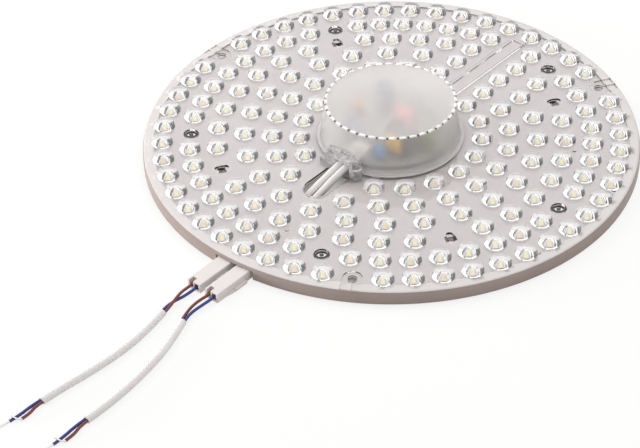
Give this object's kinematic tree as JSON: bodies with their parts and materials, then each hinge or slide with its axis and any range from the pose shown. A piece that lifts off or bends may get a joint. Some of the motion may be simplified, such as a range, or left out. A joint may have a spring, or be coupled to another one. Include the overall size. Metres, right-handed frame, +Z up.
{
  "type": "led module",
  "caption": "Round LED retrofit lamp module: clear lens plate over a lamp board, frosted driver cap, cable clamp, magnet feet and two plug-in leads with bare wire ends.",
  "frame": {"origin": "centre of the disc on the surface that the magnet feet stand on, at the bottom centre of the bounding box without the free leads", "axes": "+Z up through the lens plate and the driver cap, away from the mounting surface; -Y towards the connectors and leads; +X to the right seen from the leads"},
  "size_m": [0.3258, 0.5117, 0.0376],
  "materials": {
    "clear_plastic": "glossy, water clear",
    "frosted_plastic": "finely frosted, translucent",
    "board_white": "satin white solder resist",
    "chip_cool": "pale yellow phosphor",
    "chip_warm": "orange phosphor",
    "magnet_steel": "plated steel",
    "magnet_ceramic": "dark sintered magnet",
    "screw_steel": "dark plated steel",
    "board_green": "circuit board",
    "ferrite": "dark ferrite",
    "winding_tape": "orange yellow tape",
    "can_sleeve": "dark shrink sleeve",
    "film_red": "dipped film body",
    "ceramic_blue": "dipped ceramic body",
    "choke_green": "coated ring core",
    "choke_copper": "enamelled copper wire",
    "chip_black": "moulded epoxy",
    "nylon_white": "natural white nylon",
    "sheath_white": "soft white jacket",
    "wire_brown": "brown wire cover",
    "wire_blue": "blue wire cover",
    "tinned_wire": "tinned copper strands",
    "contact_brass": "tin plated brass"
  },
  "bodies": {
    "root": {"bare_strands_left": "tinned_wire", "bare_strands_right": "tinned_wire", "blue_wire_left": "wire_blue", "blue_wire_right": "wire_blue", "board_screws": "screw_steel", "board_spacers": "nylon_white", "bobbin_feet": "chip_black", "bridge_rectifier": "chip_black", "brown_wire_left": "wire_brown", "brown_wire_right": "wire_brown", "bulk_capacitor": "can_sleeve", "clamp_screw": "screw_steel", "control_module": "board_green", "cool_lamp_chips": "chip_cool", "driver_board": "board_green", "driver_cover": "frosted_plastic", "film_capacitor": "film_red", "fuse": "chip_black", "held_cable_left": "sheath_white", "held_cable_right": "sheath_white", "inner_blue_wire_left": "wire_blue", "inner_blue_wire_right": "wire_blue", "inner_brown_wire_left": "wire_brown", "inner_brown_wire_right": "wire_brown", "input_terminal": "nylon_white", "lead_sheath_left": "sheath_white", "lead_sheath_right": "sheath_white", "led_board": "board_white", "lens_cover": "clear_plastic", "magnet_pots": "magnet_steel", "magnet_screws": "screw_steel", "output_capacitors": "can_sleeve", "output_choke": "choke_copper", "plug_contacts_left": "contact_brass", "plug_contacts_right": "contact_brass", "plug_shell_left": "nylon_white", "plug_shell_right": "nylon_white", "ring_choke": "choke_green", "ring_magnets": "magnet_ceramic", "safety_capacitor": "ceramic_blue", "socket_left": "nylon_white", "socket_right": "nylon_white", "transformer_core": "ferrite", "transformer_winding": "winding_tape", "warm_lamp_chips": "chip_warm", "wire_clamp": "clear_plastic"}
  },
  "joints": []
}
